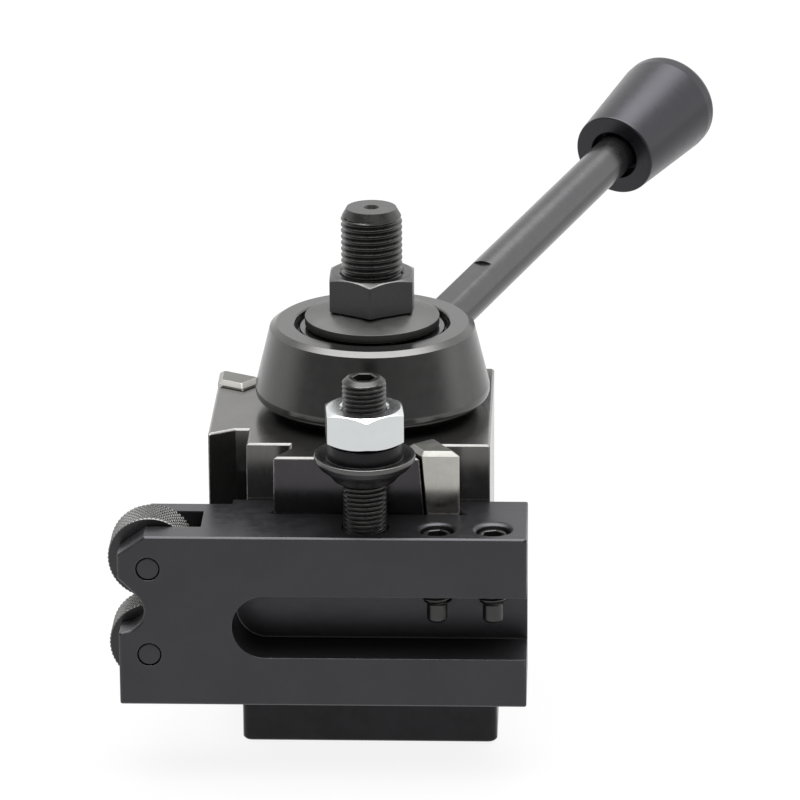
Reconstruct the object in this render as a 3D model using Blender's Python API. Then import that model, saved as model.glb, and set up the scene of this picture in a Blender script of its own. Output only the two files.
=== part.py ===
"""Wedge-type quick change tool post with a combined knurling and turning holder.

Millimetres in the constants, metres in the meshes. +X runs along the holder's
length, +Y points from the holder towards the lever, +Z is up. The origin is on
the centre stud's axis at the underside of the T-nut.
"""
import math

import bmesh
import bpy
from mathutils import Matrix, Vector

MM = 0.001
GAP = 0.3                       # running clearance drawn between touching pieces

# Centre column
STUD_R = 7.0                    # M14 x 1.5
STUD_TOP = 119.2
BUSHING_R = 10.2
BUSHING_TOP = 91.3
CAM_R = 16.0
CAM_BOTTOM, CAM_TOP = 23.0, 74.0
GROOVE_LOW, GROOVE_HIGH = 39.7, 46.3
GROOVE_R = 12.8

# T-nut and post body
TNUT_HALF = 29.2
TNUT_H = 15.0
BODY_HALF = 27.5
BODY_BACK = 26.4
BODY_LOW, BODY_TOP = 15.3, 71.8
DOVE_FACE = 36.6                # distance of the dovetail's face from the axis
DOVE_HALF = 21.1
DOVE_ROOT = 17.6
DOVE_ROOT_FACE = 30.55
FLANK = math.tan(math.radians(30.0))
WEDGE_SLOPE = 0.078             # sideways run of the gib's inner face per unit height

# Gibs
GIB_TOP, GIB_LOW = 73.2, 18.0
GIB_BEVEL = 1.05
GIB_INNER = 12.3                # inner corner on the dovetail's face, at the gib's top
GIB_DEPTH = 10.7
LUG_LOW, LUG_HIGH = 40.0, 46.0

# Handle hub and lever
HUB_LOW, HUB_TOP = 72.5, 91.9
RECESS_R = 17.8
RECESS_FLOOR = 88.6
ROD_R = 5.0
ROD_AZIMUTH = math.radians(62.9)
ROD_RISE = math.radians(11.2)
ROD_Z = 75.4                    # height at which the rod's axis meets the stud's
ROD_IN, ROD_OUT = 18.5, 143.5
KNOB_IN, KNOB_OUT = 124.5, 158.4

# Holder
HOLD_X0, HOLD_X1 = -55.0, 36.1
HOLD_Z0, HOLD_Z1 = 18.4, 58.6
HOLD_FRONT, HOLD_BACK = -52.6, -27.85
SLOT_Z0, SLOT_Z1 = 29.9, 44.5
SLOT_END = -29.6
SLOT_FLOOR = -40.0
PIN_X = -48.2
PIN_Z = (30.5, 50.9)
PIN_R = 2.55
WHEEL_R = 9.5
POCKET_Y0, POCKET_Y1 = -45.8, -36.0
POCKET_END = -36.8
SCREW_X = (16.0, 28.5)
SCREW_Y = -46.0
SCREW_R = 3.5
DOG_R = 2.3

# Height adjustment
HEIGHT_Y = -45.2
HEIGHT_R = 4.9                  # M10 x 1
HEIGHT_LOW, HEIGHT_TOP = 47.0, 93.8


def material(name, colour, roughness, metallic):
    mat = bpy.data.materials.new(name)
    mat.use_nodes = True
    shader = mat.node_tree.nodes["Principled BSDF"]
    shader.inputs["Base Color"].default_value = (*colour, 1.0)
    shader.inputs["Roughness"].default_value = roughness
    shader.inputs["Metallic"].default_value = metallic
    return mat


def finish(name, bm, mat, place=None):
    """Turn a bmesh in millimetres into a named object."""
    bmesh.ops.recalc_face_normals(bm, faces=bm.faces[:])
    bmesh.ops.scale(bm, vec=(MM, MM, MM), verts=bm.verts[:])
    mesh = bpy.data.meshes.new(name)
    bm.to_mesh(mesh)
    bm.free()
    mesh.shade_smooth()
    mesh.set_sharp_from_angle(angle=math.radians(32.0))
    mesh.materials.append(mat)
    obj = bpy.data.objects.new(name, mesh)
    bpy.context.scene.collection.objects.link(obj)
    if place is not None:
        obj.matrix_world = place
    return obj


def lathe_bmesh(profile, segments, arc=None):
    """Turn (radius, height) points about Z; a profile off the axis is a closed loop."""
    bm = bmesh.new()
    on_axis = profile[0][0] == 0.0
    full = arc is None
    start, sweep = (0.0, 2.0 * math.pi) if full else arc
    steps = segments if full else segments + 1
    rings = []
    for radius, height in profile:
        if radius == 0.0:
            rings.append([bm.verts.new((0.0, 0.0, height))])
            continue
        ring = []
        for k in range(steps):
            angle = start + sweep * k / segments
            ring.append(bm.verts.new((radius * math.cos(angle), radius * math.sin(angle), height)))
        rings.append(ring)
    pairs = list(zip(rings[:-1], rings[1:]))
    if not on_axis:
        pairs.append((rings[-1], rings[0]))
    for low, high in pairs:
        for k in range(segments):
            n = (k + 1) % steps
            corners = []
            for vert in (low[k % len(low)], low[n % len(low)], high[n % len(high)], high[k % len(high)]):
                if vert not in corners:
                    corners.append(vert)
            if len(corners) > 2:
                bm.faces.new(corners)
    if not full:
        bm.faces.new([ring[0] for ring in rings])
        bm.faces.new([ring[-1] for ring in reversed(rings)])
    return bm


def lathe(name, profile, segments, mat, place=None, arc=None):
    return finish(name, lathe_bmesh(profile, segments, arc), mat, place)


def loft(name, rings, mat, place=None):
    """Join equal-length rings of 3-D points and cap both ends."""
    bm = bmesh.new()
    made = [[bm.verts.new(point) for point in ring] for ring in rings]
    for low, high in zip(made[:-1], made[1:]):
        for k in range(len(low)):
            n = (k + 1) % len(low)
            bm.faces.new((low[k], low[n], high[n], high[k]))
    bm.faces.new(made[0])
    bm.faces.new(made[-1])
    return finish(name, bm, mat, place)


def inset(polygon, distance):
    """Move every edge of a counter-clockwise polygon inwards."""
    result = []
    count = len(polygon)
    for k in range(count):
        before = Vector(polygon[k - 1])
        here = Vector(polygon[k])
        after = Vector(polygon[(k + 1) % count])
        first = (here - before).normalized()
        second = (after - here).normalized()
        n1 = Vector((-first.y, first.x))
        n2 = Vector((-second.y, second.x))
        bisector = (n1 + n2) / (1.0 + n1.dot(n2))
        result.append(tuple(here + bisector * distance))
    return result


def at_height(polygon, z):
    return [(x, y, z) for x, y in polygon]


def rounded_square(half, radius, steps):
    points = []
    for corner in range(4):
        base = corner * math.pi / 2.0
        cx = (half - radius) * (1 if corner in (0, 3) else -1)
        cy = (half - radius) * (1 if corner in (0, 1) else -1)
        for k in range(steps + 1):
            angle = base + math.pi / 2.0 * k / steps
            points.append((cx + radius * math.cos(angle), cy + radius * math.sin(angle)))
    return points


def hexagon(across_flats, turn):
    radius = across_flats / math.sqrt(3.0)
    return [(radius * math.cos(turn + k * math.pi / 3.0), radius * math.sin(turn + k * math.pi / 3.0))
            for k in range(6)]


def modify(obj, tool, operation):
    tool.hide_render = True
    tool.display_type = 'WIRE'
    change = obj.modifiers.new(tool.name, 'BOOLEAN')
    change.operation = operation
    change.solver = 'EXACT'
    change.object = tool
    return obj


def cut(obj, tool):
    return modify(obj, tool, 'DIFFERENCE')


def rod_tool(name, radius, low, high, place=None, segments=40):
    profile = [(0.0, low), (radius, low), (radius, high), (0.0, high)]
    return lathe(name, profile, segments, TOOL, place)


def box_tool(name, low, high):
    x0, y0, z0 = low
    x1, y1, z1 = high
    square = [(x0, y0), (x1, y0), (x1, y1), (x0, y1)]
    return loft(name, [at_height(square, z0), at_height(square, z1)], TOOL)


def hex_tool(name, across_flats, turn, low, high, place=None):
    flat = hexagon(across_flats, turn)
    return loft(name, [at_height(flat, low), at_height(flat, high)], TOOL, place)


def shift(x, y, z=0.0):
    return Matrix.Translation((x * MM, y * MM, z * MM))


for old in list(bpy.data.objects):
    bpy.data.objects.remove(old, do_unlink=True)

BLACK = material("black_oxide_steel", (0.045, 0.045, 0.048), 0.42, 0.85)
INNER = material("turned_steel", (0.30, 0.30, 0.30), 0.38, 1.0)
GROUND = material("ground_steel", (0.55, 0.53, 0.50), 0.28, 1.0)
ZINC = material("zinc_plated_steel", (0.72, 0.74, 0.76), 0.30, 1.0)
KNURL = material("knurl_steel", (0.33, 0.33, 0.34), 0.45, 1.0)
TOOL = material("cutting_tool_shape", (0.8, 0.2, 0.1), 0.5, 0.0)

# --- T-nut -----------------------------------------------------------------
square = rounded_square(TNUT_HALF, 2.2, 4)
small = inset(square, 0.6)
t_nut = loft("t_nut", [at_height(small, 0.0), at_height(square, 0.6),
                       at_height(square, TNUT_H - 0.6), at_height(small, TNUT_H)], BLACK)
cut(t_nut, rod_tool("t_nut_hole", STUD_R + GAP, -2.0, TNUT_H + 2.0, segments=48))


# --- Gib cross-section: its inner face leans, its back face and flank are upright ---
def meet(point, direction, other, heading):
    """Crossing of two lines in the plane."""
    across = direction.x * heading.y - direction.y * heading.x
    gap = other - point
    return point + direction * ((gap.x * heading.y - gap.y * heading.x) / across)


def gib_corners(z, grow=0.0):
    """Front gib at one height: face inner, deep inner, deep outer, face outer."""
    lean = WEDGE_SLOPE * (GIB_TOP - z)
    side_dir = Vector((-FLANK, 1.0)).normalized()
    back_dir = Vector((-6.0, -4.7)).normalized()
    widen = Vector((grow / math.cos(math.radians(30.0)), 0.0))
    face_in = Vector((GIB_INNER + lean, -DOVE_FACE)) - widen
    face_out = Vector((DOVE_HALF, -DOVE_FACE)) + widen
    back = Vector((DOVE_HALF - FLANK * GIB_DEPTH, -DOVE_FACE + GIB_DEPTH))
    back = back + Vector((back_dir.y, -back_dir.x)) * grow
    deep_in = meet(back, back_dir, face_in, side_dir)
    deep_out = meet(back, back_dir, face_out, side_dir)
    return face_in, deep_in, deep_out, face_out


# --- Post body ---------------------------------------------------------------
def body_outline(z):
    face_in, deep_in, deep_out, face_out = gib_corners(z, GAP)
    open_x = face_out.x - FLANK * (DOVE_FACE - BODY_HALF)
    front = [(-BODY_HALF, -BODY_HALF), (-DOVE_ROOT, -BODY_HALF), (-DOVE_ROOT, -DOVE_ROOT_FACE),
             (-DOVE_HALF, -DOVE_FACE), tuple(face_in), tuple(deep_in), tuple(deep_out),
             (open_x, -BODY_HALF)]
    side = [(y, x) for x, y in reversed(front[1:])]
    return front + [(BODY_HALF, -BODY_HALF), (BODY_HALF, BODY_BACK), (-BODY_HALF, BODY_BACK)] + side


EDGE = 0.6
post_body = loft("post_body", [
    at_height(inset(body_outline(BODY_LOW), EDGE), BODY_LOW),
    at_height(body_outline(BODY_LOW + EDGE), BODY_LOW + EDGE),
    at_height(body_outline(BODY_TOP - EDGE), BODY_TOP - EDGE),
    at_height(inset(body_outline(BODY_TOP), EDGE), BODY_TOP)], BLACK)
cut(post_body, rod_tool("body_bore", CAM_R + GAP, BODY_LOW - 3.0, BODY_TOP + 3.0, segments=64))
cut(post_body, rod_tool("body_counterbore", 23.3, BODY_LOW - 3.0, 19.3, segments=64))
cut(post_body, box_tool("front_hook_window", (11.3, -30.0, 37.4), (15.8, -4.0, 49.8)))
cut(post_body, box_tool("side_hook_window", (-30.0, 11.3, 37.4), (-4.0, 15.8, 49.8)))


# --- Gibs with their driving hooks -------------------------------------------
def gib_ring(z, edge, mirrored):
    face_in, deep_in, deep_out, face_out = gib_corners(z)
    ring = inset([tuple(p) for p in (face_in, face_out, deep_out, deep_in)], edge)
    if mirrored:
        ring = [(y, x) for x, y in ring]
    return at_height(ring, z)


def make_gib(name, mirrored):
    gib = loft(name, [gib_ring(GIB_LOW, 0.5, mirrored), gib_ring(GIB_LOW + 0.5, 0.0, mirrored),
                      gib_ring(GIB_TOP - GIB_BEVEL, 0.0, mirrored),
                      gib_ring(GIB_TOP, GIB_BEVEL, mirrored)], GROUND)
    low, high = ((12.0, -31.0, LUG_LOW), (15.0, -5.5, LUG_HIGH))
    if mirrored:
        low, high = ((low[1], low[0], low[2]), (high[1], high[0], high[2]))
    return modify(gib, box_tool(name + "_hook", low, high), 'UNION')


front_gib = make_gib("front_gib", False)
side_gib = make_gib("side_gib", True)

# --- Centre bushing, its base screws, the cam sleeve ----------------------------
centre_bushing = lathe("centre_bushing", [
    (STUD_R + GAP, 15.6), (22.6, 15.6), (23.0, 16.0), (23.0, 18.6), (22.6, 19.0), (BUSHING_R, 19.0),
    (BUSHING_R, 89.45), (9.3, 89.45), (9.3, 90.95), (BUSHING_R, 90.95), (BUSHING_R, 91.1),
    (BUSHING_R - 0.2, BUSHING_TOP), (STUD_R + GAP, BUSHING_TOP)], 40, INNER)
for number, degrees in enumerate((45.0, 165.0, 285.0), start=1):
    angle = math.radians(degrees)
    spot = shift(20.0 * math.cos(angle), 20.0 * math.sin(angle))
    cut(centre_bushing, rod_tool("bushing_hole_%d" % number, 1.8, 14.0, 21.0, spot, 20))
    cut(centre_bushing, rod_tool("bushing_head_hole_%d" % number, 2.7, 14.0, 17.6, spot, 24))
    cut(post_body, rod_tool("body_hole_%d" % number, 1.8, 18.0, 28.0, spot, 20))
    screw = lathe("bushing_screw_%d" % number, [
        (0.0, 15.9), (2.4, 15.9), (2.4, 17.3), (1.5, 17.3), (1.5, 27.0), (0.0, 27.0)], 24, BLACK, spot)
    cut(screw, hex_tool("bushing_socket_%d" % number, 2.0, 0.0, 15.0, 16.7, spot))

cam_sleeve = lathe("cam_sleeve", [
    (10.5, CAM_BOTTOM), (CAM_R - 0.5, CAM_BOTTOM), (CAM_R, CAM_BOTTOM + 0.5), (CAM_R, GROOVE_LOW),
    (GROOVE_R, GROOVE_LOW), (GROOVE_R, GROOVE_HIGH), (CAM_R, GROOVE_HIGH), (CAM_R, CAM_TOP - 0.5),
    (CAM_R - 0.5, CAM_TOP), (10.5, CAM_TOP)], 48, INNER)

# --- Handle hub --------------------------------------------------------------
handle_hub = lathe("handle_hub", [
    (16.3, HUB_LOW), (23.4, HUB_LOW), (25.0, 73.0), (26.2, 74.1), (26.9, 75.8), (26.9, 77.0),
    (23.75, 90.4), (23.4, 90.95), (21.7, HUB_TOP), (RECESS_R + 0.3, HUB_TOP),
    (RECESS_R, HUB_TOP - 0.3), (RECESS_R, RECESS_FLOOR), (10.5, RECESS_FLOOR), (10.5, 78.0), (16.3, 78.0)], 60, BLACK)
aim = Matrix.Rotation(ROD_AZIMUTH, 4, 'Z') @ Matrix.Rotation(math.pi / 2.0 - ROD_RISE, 4, 'Y')
along_rod = shift(0.0, 0.0, ROD_Z) @ aim
cut(handle_hub, rod_tool("hub_rod_hole", ROD_R + GAP, ROD_IN - 0.6, 40.0, along_rod))
for number, turn in enumerate((-90.0, 90.0), start=1):
    angle = ROD_AZIMUTH + math.radians(turn)
    spot = shift(13.2 * math.cos(angle), 13.2 * math.sin(angle))
    cut(cam_sleeve, rod_tool("cam_pin_hole_%d" % number, 1.6, 62.0, 76.0, spot, 20))
    cut(handle_hub, rod_tool("hub_pin_hole_%d" % number, 1.6, 76.0, 84.4, spot, 20))
    lathe("hub_drive_pin_%d" % number, [
        (0.0, 66.0), (1.0, 66.0), (1.3, 66.3), (1.3, 83.7), (1.0, 84.0), (0.0, 84.0)], 20, INNER, spot)

lathe("hub_thrust_washer", [(10.5, 88.9), (17.2, 88.9), (17.2, 89.4), (10.5, 89.4)], 40, INNER)
lathe("hub_snap_ring", [(9.6, 89.7), (16.4, 89.7), (16.6, 89.9), (16.6, 90.7), (16.4, 90.9),
                        (9.6, 90.9)], 44, BLACK,
      arc=(math.radians(-59.0 + 11.0), math.radians(338.0)))

lever_rod = lathe("lever_rod", [
    (0.0, ROD_IN), (4.4, ROD_IN), (ROD_R, ROD_IN + 0.6), (ROD_R, ROD_OUT - 0.6), (4.4, ROD_OUT),
    (0.0, ROD_OUT)], 40, BLACK, along_rod)
FLAT_TURN = math.radians(175.0)
flat_block = [(4.3, -8.0), (8.0, -8.0), (8.0, 8.0), (4.3, 8.0)]
flat_tool = loft("rod_flat", [at_height(flat_block, 27.5), at_height(flat_block, 56.0)], TOOL,
                 along_rod @ Matrix.Rotation(FLAT_TURN, 4, 'Z'))
cut(lever_rod, flat_tool)


def knob_profile():
    """Open profile from the bottom of the blind bore round to the domed end."""
    return [(0.0, 144.0), (ROD_R + GAP, 144.0), (ROD_R + GAP, 129.5), (6.1, 129.5), (6.1, KNOB_IN),
            (9.9, KNOB_IN), (10.3, KNOB_IN + 0.5), (12.6, 152.5), (12.6, 154.6), (12.0, 156.6),
            (10.4, 157.9), (6.0, KNOB_OUT), (0.0, KNOB_OUT + 0.1)]


lathe("lever_knob", knob_profile(), 44, BLACK, along_rod)

# --- Clamp washer, nut, centre stud --------------------------------------------
lathe("clamp_washer", [
    (STUD_R + GAP, 91.6), (15.2, 91.6), (15.4, 91.8), (15.4, 93.4), (15.2, 93.6), (9.8, 95.5),
    (STUD_R + GAP, 95.5)], 48, BLACK)


def make_nut(name, across_flats, low, high, bore, turn, mat, place=None, both=True):
    """Hexagon nut, its corners turned back to a cone at the ends."""
    corner = across_flats / math.sqrt(3.0) + 0.3
    flat = across_flats / 2.0 - 0.25
    drop = (corner - flat) * math.tan(math.radians(28.0))
    foot = flat if both else corner
    foot_rise = drop if both else 0.0
    profile = [(bore, low), (foot, low), (corner, low + max(foot_rise, 0.01)), (corner, high - drop),
               (flat, high), (bore + 0.9, high), (bore, high - 0.6)]
    nut = lathe(name, profile, 48, mat, place)
    flats = hexagon(across_flats, turn)
    keep = loft(name + "_flats", [at_height(flats, low - 1.0), at_height(flats, high + 1.0)], TOOL, place)
    return modify(nut, keep, 'INTERSECT')


stud_nut = make_nut("stud_nut", 19.0, 95.8, 104.0, STUD_R + GAP, math.radians(-90.0), BLACK, both=False)

lathe("centre_stud", [
    (0.0, 0.0), (6.2, 0.0), (STUD_R, 0.8), (STUD_R, STUD_TOP - 1.5), (5.4, STUD_TOP),
    (1.7, STUD_TOP), (1.2, STUD_TOP - 1.6), (0.0, STUD_TOP - 2.6)], 48, BLACK)

# --- Holder ------------------------------------------------------------------
outline = [(HOLD_X0, HOLD_Z0), (HOLD_X1, HOLD_Z0), (HOLD_X1, HOLD_Z1), (-48.9, HOLD_Z1),
           (HOLD_X0, 54.2), (HOLD_X0, 48.6), (-51.3, 44.9), (-49.8, 43.2), (-49.1, 40.7),
           (-49.7, 38.3), (-51.7, 36.4), (HOLD_X0, 35.5)]


def holder_ring(edge, y):
    return [(x, y, z) for x, z in inset(outline, edge)]


holder_body = loft("holder_body", [
    holder_ring(0.5, HOLD_FRONT), holder_ring(0.0, HOLD_FRONT + 0.5),
    holder_ring(0.0, HOLD_BACK - 0.5), holder_ring(0.5, HOLD_BACK)], BLACK)

female = [(-21.75, -36.95), (22.2, -36.95), (18.35, -30.9), (18.35, -20.0), (-18.0, -20.0),
          (-18.0, -30.75)]
cut(holder_body, loft("holder_dovetail", [at_height(female, 10.0), at_height(female, 70.0)], TOOL))
cut(holder_body, box_tool("holder_back_relief", (-60.0, -31.2, 10.0), (-30.5, -20.0, 70.0)))

half_height = (SLOT_Z1 - SLOT_Z0) / 2.0
middle = (SLOT_Z1 + SLOT_Z0) / 2.0
slot = [(HOLD_X1 + 5.0, SLOT_Z0), (HOLD_X1 + 5.0, SLOT_Z1)]
for k in range(17):
    angle = math.pi / 2.0 + math.pi * k / 16.0
    slot.append((SLOT_END + half_height + half_height * math.cos(angle),
                 middle + half_height * math.sin(angle)))
cut(holder_body, loft("tool_slot", [[(x, -60.0, z) for x, z in slot],
                                    [(x, SLOT_FLOOR, z) for x, z in slot]], TOOL))
cut(holder_body, box_tool("wheel_pocket", (-60.0, POCKET_Y0, 10.0), (POCKET_END, POCKET_Y1, 70.0)))

to_y = Matrix.Rotation(math.radians(-90.0), 4, 'X')
for label, pin_z in zip(("lower", "upper"), PIN_Z):
    spot = shift(PIN_X, 0.0, pin_z) @ to_y
    cut(holder_body, rod_tool("pin_hole_" + label, PIN_R + GAP, -60.0, -20.0, spot, 32))
    lathe("wheel_pin_" + label, [
        (0.0, -52.4), (2.25, -52.4), (PIN_R, -52.1), (PIN_R, -31.8), (2.25, -31.5), (0.0, -31.5)],
        32, BLACK, spot)
    lathe("knurl_wheel_" + label, [
        (PIN_R + 0.35, -45.5), (8.7, -45.5), (WHEEL_R, -44.8), (WHEEL_R, -37.0), (8.7, -36.3),
        (PIN_R + 0.35, -36.3)], 48, KNURL, spot)

for number, screw_x in enumerate(SCREW_X, start=1):
    spot = shift(screw_x, SCREW_Y)
    cut(holder_body, rod_tool("screw_hole_%d" % number, SCREW_R + GAP, SLOT_Z1 - 2.0, 62.0, spot, 32))
    sink = lathe("screw_sink_%d" % number, [
        (0.0, HOLD_Z1 - 0.8), (3.7, HOLD_Z1 - 0.8), (5.5, HOLD_Z1 + 1.0), (0.0, HOLD_Z1 + 1.0)],
        32, TOOL, spot)
    cut(holder_body, sink)
    tool_screw = lathe("tool_screw_%d" % number, [
        (0.0, 36.8), (1.7, 36.8), (DOG_R, 37.4), (DOG_R, 41.0), (2.9, 41.3), (SCREW_R, 41.9),
        (SCREW_R, 56.9), (3.0, 57.4), (0.0, 57.4)], 32, BLACK, spot)
    cut(tool_screw, hex_tool("screw_socket_%d" % number, 4.0, 0.3, 54.0, 58.0, spot))

at_height_stud = shift(0.0, HEIGHT_Y)
cut(holder_body, rod_tool("height_hole", HEIGHT_R + GAP, 46.7, 62.0, at_height_stud))
height_stud = lathe("height_stud", [
    (0.0, HEIGHT_LOW), (4.2, HEIGHT_LOW), (HEIGHT_R, HEIGHT_LOW + 0.7), (HEIGHT_R, HEIGHT_TOP - 1.0),
    (3.9, HEIGHT_TOP), (0.0, HEIGHT_TOP)], 40, BLACK, at_height_stud)
cut(height_stud, hex_tool("height_socket", 4.4, 0.0, 89.0, 95.0, at_height_stud))
lathe("height_nut", [
    (HEIGHT_R + GAP, 70.1), (6.9, 70.1), (7.3, 70.4), (8.25, 71.75), (10.2, 73.3), (11.1, 74.5), (11.3, 75.2),
    (11.33, 75.6), (10.95, 76.0), (10.3, 75.8), (8.4, 75.3), (8.3, 78.5), (7.9, 78.9),
    (HEIGHT_R + GAP, 78.9)], 48, BLACK, at_height_stud)
make_nut("height_lock_nut", 17.0, 79.2, 87.0, HEIGHT_R + GAP, math.radians(-84.5), ZINC,
         at_height_stud)
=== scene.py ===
"""Looks of a wedge-type quick change tool post with a knurling and turning holder.

Lengths below are millimetres unless a name says otherwise; meshes are made in metres.
"""
import math

import bmesh
import bpy
import numpy as np
from mathutils import Matrix, Vector


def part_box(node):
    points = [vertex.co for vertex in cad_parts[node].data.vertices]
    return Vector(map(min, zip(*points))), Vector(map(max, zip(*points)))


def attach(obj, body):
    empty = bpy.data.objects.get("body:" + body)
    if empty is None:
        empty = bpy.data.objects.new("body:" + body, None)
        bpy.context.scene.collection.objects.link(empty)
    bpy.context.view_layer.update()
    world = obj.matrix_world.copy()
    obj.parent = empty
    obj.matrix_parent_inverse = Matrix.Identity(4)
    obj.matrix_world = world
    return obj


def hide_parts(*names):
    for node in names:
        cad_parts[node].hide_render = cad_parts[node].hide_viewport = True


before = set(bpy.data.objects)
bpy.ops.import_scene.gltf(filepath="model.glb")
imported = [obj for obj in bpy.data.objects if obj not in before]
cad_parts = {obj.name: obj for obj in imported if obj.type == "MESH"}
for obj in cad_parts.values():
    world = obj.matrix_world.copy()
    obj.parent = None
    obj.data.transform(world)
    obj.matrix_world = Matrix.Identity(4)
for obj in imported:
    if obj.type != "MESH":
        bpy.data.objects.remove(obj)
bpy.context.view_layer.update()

MM = 0.001
TAU = 2.0 * math.pi


def corner(node):
    """Lowest and highest corner of a CAD node, in millimetres."""
    low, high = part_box(node)
    return [v / MM for v in low], [v / MM for v in high]


# --- Mesh helpers -------------------------------------------------------------
def fillet(points, radius, steps=4, closed=True):
    """Round the corners of a 2-D outline; radius is one number or one per point."""
    count = len(points)
    radii = [radius] * count if isinstance(radius, (int, float)) else list(radius)
    result = []
    for k in range(count):
        here = Vector(points[k])
        if radii[k] <= 0.0 or (not closed and k in (0, count - 1)):
            result.append(tuple(here))
            continue
        to_before = Vector(points[k - 1]) - here
        to_after = Vector(points[(k + 1) % count]) - here
        half = to_before.angle(to_after) / 2.0
        reach = radii[k] / math.tan(half)
        reach = min(reach, to_before.length * 0.49, to_after.length * 0.49)
        size = reach * math.tan(half)
        start = here + to_before.normalized() * reach
        between = (to_before.normalized() + to_after.normalized()).normalized()
        middle = here + between * (size / math.sin(half))
        spoke = start - middle
        other = here + to_after.normalized() * reach - middle
        sweep = math.atan2(spoke.x * other.y - spoke.y * other.x, spoke.dot(other))
        for s in range(steps + 1):
            turn = Matrix.Rotation(sweep * s / steps, 2)
            result.append(tuple(middle + turn @ spoke))
    return result


def inset(polygon, distance):
    """Move every edge of a counter-clockwise polygon inwards."""
    result = []
    count = len(polygon)
    for k in range(count):
        before = Vector(polygon[k - 1])
        here = Vector(polygon[k])
        after = Vector(polygon[(k + 1) % count])
        first = (here - before).normalized()
        second = (after - here).normalized()
        n1 = Vector((-first.y, first.x))
        n2 = Vector((-second.y, second.x))
        result.append(tuple(here + (n1 + n2) / (1.0 + n1.dot(n2)) * distance))
    return result


def soft_edge(low, high, size):
    """(height, inset) levels of a prism whose two end edges are broken and softened."""
    rise = [(0.0, 1.0), (0.12, 0.72), (0.72, 0.12), (1.0, 0.0)]
    levels = [(low + size * a, size * b) for a, b in rise]
    return levels + [(high - size * a, size * b) for a, b in reversed(rise)]


def loft_bm(rings):
    bm = bmesh.new()
    made = [[bm.verts.new(point) for point in ring] for ring in rings]
    for low, high in zip(made[:-1], made[1:]):
        for k in range(len(low)):
            n = (k + 1) % len(low)
            bm.faces.new((low[k], low[n], high[n], high[k]))
    bm.faces.new(made[0])
    bm.faces.new(made[-1])
    return bm


def lathe_bm(profile, segments, arc=None):
    """Turn (radius, height) points about Z; a profile that starts off the axis is closed."""
    bm = bmesh.new()
    closed = profile[0][0] > 0.0
    start, sweep = (0.0, TAU) if arc is None else arc
    steps = segments if arc is None else segments + 1
    rings = []
    for radius, height in profile:
        if radius == 0.0:
            rings.append([bm.verts.new((0.0, 0.0, height))])
            continue
        angles = [start + sweep * k / segments for k in range(steps)]
        rings.append([bm.verts.new((radius * math.cos(a), radius * math.sin(a), height)) for a in angles])
    pairs = list(zip(rings[:-1], rings[1:]))
    if closed:
        pairs.append((rings[-1], rings[0]))
    for low, high in pairs:
        for k in range(segments):
            n = (k + 1) % steps
            quad = []
            for vert in (low[k % len(low)], low[n % len(low)], high[n % len(high)], high[k % len(high)]):
                if vert not in quad:
                    quad.append(vert)
            if len(quad) > 2:
                bm.faces.new(quad)
    if arc is not None:
        bm.faces.new([ring[0] for ring in rings])
        bm.faces.new([ring[-1] for ring in reversed(rings)])
    return bm


def build(name, bm, mat, place=None, sharp=38.0, baked=False):
    """Turn a bmesh in millimetres into a smooth-shaded object with face-weighted normals."""
    bmesh.ops.recalc_face_normals(bm, faces=bm.faces[:])
    bmesh.ops.scale(bm, vec=(MM, MM, MM), verts=bm.verts[:])
    if baked:
        bmesh.ops.transform(bm, matrix=place, verts=bm.verts[:])
        place = None
    mesh = bpy.data.meshes.new(name)
    bm.to_mesh(mesh)
    bm.free()
    mesh.materials.append(mat)
    obj = bpy.data.objects.new(name, mesh)
    bpy.context.scene.collection.objects.link(obj)
    if place is not None:
        obj.matrix_world = place
    smooth(obj, sharp)
    return obj


def smooth(obj, sharp=38.0):
    obj.data.shade_smooth()
    obj.data.set_sharp_from_angle(angle=math.radians(sharp))
    if "weighted" not in obj.modifiers:
        weighted = obj.modifiers.new("weighted", 'WEIGHTED_NORMAL')
        weighted.keep_sharp = True
        weighted.weight = 80


def accent(obj, mat, chosen):
    """Give the faces that a test picks out a second material."""
    obj.data.materials.append(mat)
    for face in obj.data.polygons:
        if chosen(face):
            face.material_index = len(obj.data.materials) - 1


def shape(obj, tools, operation='DIFFERENCE', sharp=38.0):
    """Apply Boolean tools to an object for good and remove the tools."""
    obj.modifiers.clear()
    for tool in tools:
        tool.modifiers.clear()
        change = obj.modifiers.new(tool.name, 'BOOLEAN')
        change.operation = operation
        change.solver = 'EXACT'
        change.object = tool
    bpy.context.view_layer.update()
    graph = bpy.context.evaluated_depsgraph_get()
    made = bpy.data.meshes.new_from_object(obj.evaluated_get(graph))
    obj.modifiers.clear()
    old = obj.data
    obj.data = made
    made.name = obj.name
    bpy.data.meshes.remove(old)
    for tool in tools:
        bpy.data.objects.remove(tool, do_unlink=True)
    smooth(obj, sharp)
    return obj


def tool(name, bm, place=None):
    return build(name, bm, PAINTED_SHADE_BLACK, place)


def hole(name, radius, low, high, place=None, mouth_low=None, mouth_high=None, lip=0.35, segments=72):
    """A round cutter whose edge is broken where it comes out of a face."""
    profile = [(0.0, low), (radius, low), (radius, high), (0.0, high)]
    if mouth_high is not None:
        profile[2:] = [(radius, mouth_high - lip), (radius + lip * 0.15, mouth_high - lip * 0.65),
                       (radius + lip, mouth_high), (radius + lip, high), (0.0, high)]
    if mouth_low is not None:
        profile[:2] = [(0.0, low), (radius + lip, low), (radius + lip, mouth_low),
                       (radius + lip * 0.15, mouth_low + lip * 0.65), (radius, mouth_low + lip)]
    return tool(name, lathe_bm(profile, segments), place)


def prism(outline, levels, axis):
    """Stack a 2-D outline along an axis: axis 2 takes (x, y), axis 1 takes (x, z)."""
    rings = []
    for at, edge in levels:
        ring = inset(outline, edge) if edge else outline
        rings.append([(a, b, at) if axis == 2 else (a, at, b) for a, b in ring])
    return loft_bm(rings)


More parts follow.
